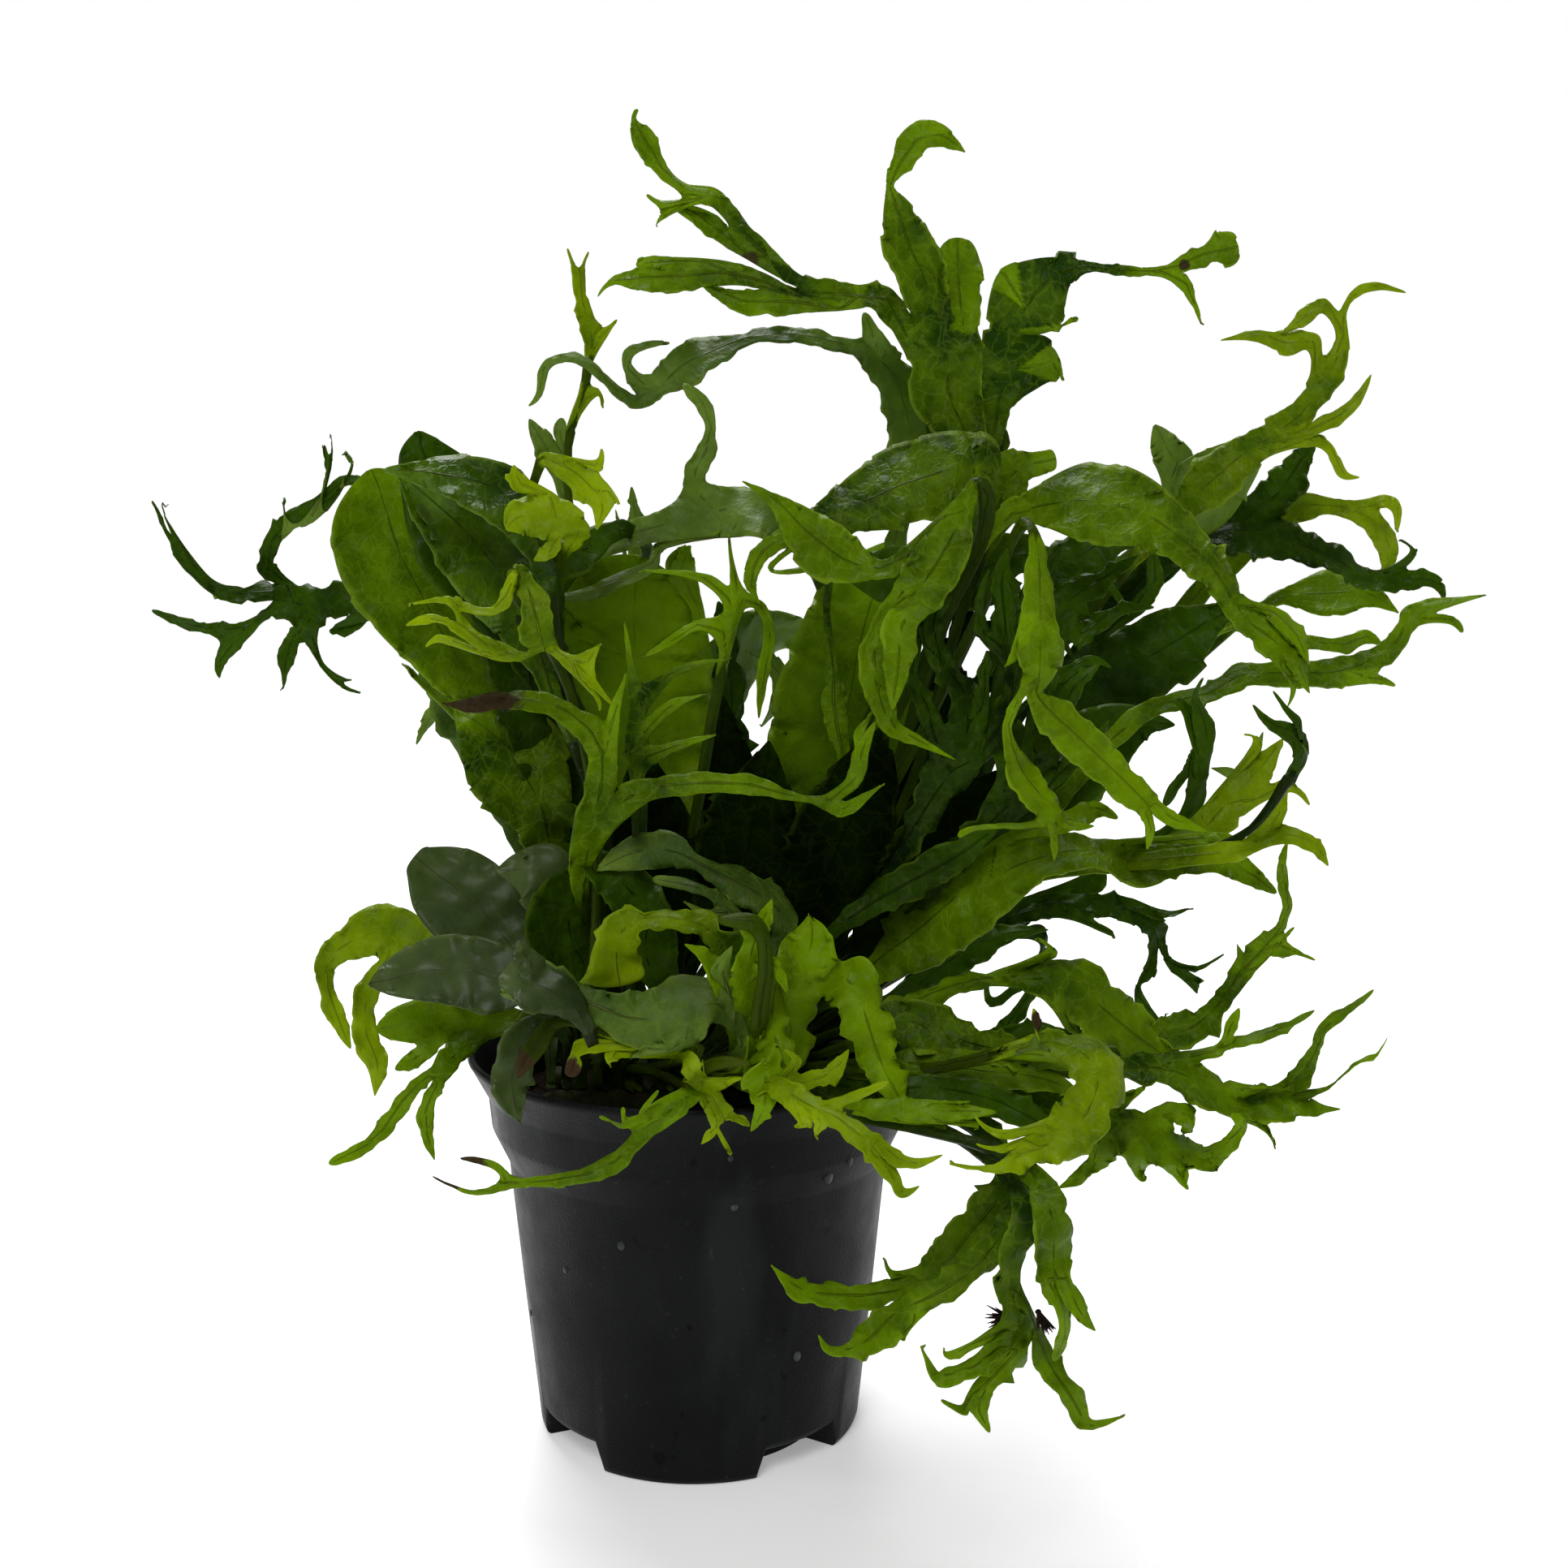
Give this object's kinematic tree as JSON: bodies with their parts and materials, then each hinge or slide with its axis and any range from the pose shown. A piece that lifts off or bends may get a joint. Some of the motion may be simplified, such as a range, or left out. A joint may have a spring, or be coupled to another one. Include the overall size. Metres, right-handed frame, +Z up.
{
  "type": "potted java fern",
  "caption": "Crested java fern with forked green fronds growing out of a round black plastic nursery pot.",
  "frame": {"origin": "centre of the flat face under the pot that the plant stands on", "axes": "+Z up along the pot's axis, +X to the right and -Y towards the viewer of the plant's front"},
  "size_m": [0.2912, 0.1699, 0.2582],
  "materials": {
    "black_plastic": "satin",
    "growing_medium": "rough and damp",
    "rhizome": "matt",
    "leaf": "satin, wet in places"
  },
  "bodies": {
    "root": {"frond_arch": "leaf", "frond_broad_left": "leaf", "frond_broad_right": "leaf", "frond_burnt": "leaf", "frond_centre_dark": "leaf", "frond_centre_forks": "leaf", "frond_centre_pale": "leaf", "frond_crinkled_left": "leaf", "frond_crown": "leaf", "frond_dark_forks": "leaf", "frond_drooping_tip": "leaf", "frond_far_left": "leaf", "frond_far_right_low": "leaf", "frond_front_bright": "leaf", "frond_hood": "leaf", "frond_hub": "leaf", "frond_hump_left": "leaf", "frond_left_arch": "leaf", "frond_left_yellow": "leaf", "frond_low_bow": "leaf", "frond_low_bright": "leaf", "frond_low_crest": "leaf", "frond_low_left": "leaf", "frond_low_long": "leaf", "frond_low_rising": "leaf", "frond_middle_leaf": "leaf", "frond_pale_front": "leaf", "frond_pinnate": "leaf", "frond_rear_left": "leaf", "frond_rear_middle": "leaf", "frond_rear_right": "leaf", "frond_right_arch": "leaf", "frond_right_bunch": "leaf", "frond_right_claw": "leaf", "frond_right_claw_dark": "leaf", "frond_right_dark": "leaf", "frond_right_folded": "leaf", "frond_right_grey": "leaf", "frond_right_lens": "leaf", "frond_right_long": "leaf", "frond_right_top": "leaf", "frond_right_yellow": "leaf", "frond_rim_leaf": "leaf", "frond_rim_strap": "leaf", "frond_round_dark": "leaf", "frond_thin_upright": "leaf", "frond_trailing_arm": "leaf", "frond_trailing_leaf": "leaf", "frond_trailing_stem": "leaf", "frond_trailing_strap": "leaf", "frond_veined": "leaf", "frond_wet_dark": "leaf", "frond_wet_low": "leaf", "frond_yellow_arc": "leaf", "frond_yellow_ruffle": "leaf", "growing_medium": "growing_medium", "pot": "black_plastic", "rhizome_back": "rhizome", "rhizome_front": "rhizome", "rhizome_middle": "rhizome"}
  },
  "joints": []
}
